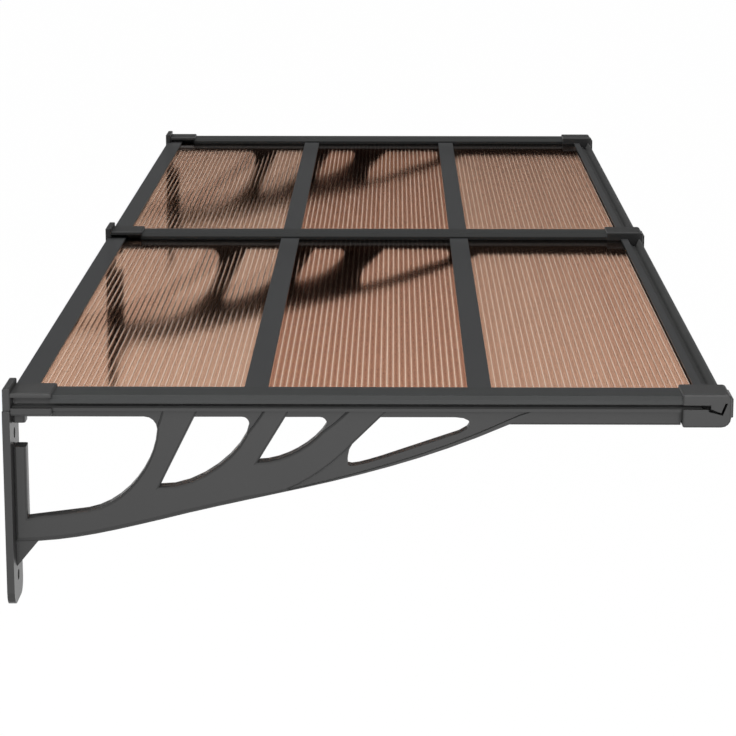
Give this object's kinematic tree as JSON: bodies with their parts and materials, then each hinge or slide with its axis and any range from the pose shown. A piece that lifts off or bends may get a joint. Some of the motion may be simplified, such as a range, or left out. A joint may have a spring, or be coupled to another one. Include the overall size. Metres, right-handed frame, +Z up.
{
  "type": "door canopy",
  "caption": "Flat wall-mounted door canopy: bronze twin-wall plastic sheets in dark rails on moulded cantilever brackets with an openwork curved truss.",
  "frame": {"origin": "middle of the back face of the middle bracket's wall plate, on the wall plane", "axes": "+X along the wall, +Y into the wall, so the canopy stands out towards -Y, +Z up"},
  "size_m": [2.466, 0.904, 0.2795],
  "materials": {
    "moulded_plastic": "fine satin, dark grey",
    "painted_rail": "satin paint, dark grey",
    "bronze_sheet": "translucent bronze twin-wall sheet"
  },
  "bodies": {
    "root": {"bracket_left": "moulded_plastic", "bracket_middle": "moulded_plastic", "bracket_right": "moulded_plastic", "cap_bar_left": "painted_rail", "cap_bar_middle": "painted_rail", "cap_bar_right": "painted_rail", "rear_sleeve_left": "moulded_plastic", "rear_sleeve_middle": "moulded_plastic", "rear_sleeve_right": "moulded_plastic", "front_sleeve_left": "moulded_plastic", "front_sleeve_middle": "moulded_plastic", "front_sleeve_right": "moulded_plastic", "wall_rail_left": "painted_rail", "wall_rail_right": "painted_rail", "rear_joint_rail_left": "painted_rail", "rear_joint_rail_right": "painted_rail", "front_joint_rail_left": "painted_rail", "front_joint_rail_right": "painted_rail", "gutter_rail_left": "painted_rail", "gutter_rail_right": "painted_rail", "rear_sheet_left": "bronze_sheet", "rear_sheet_right": "bronze_sheet", "middle_sheet_left": "bronze_sheet", "middle_sheet_right": "bronze_sheet", "front_sheet_left": "bronze_sheet", "front_sheet_right": "bronze_sheet"}
  },
  "joints": []
}
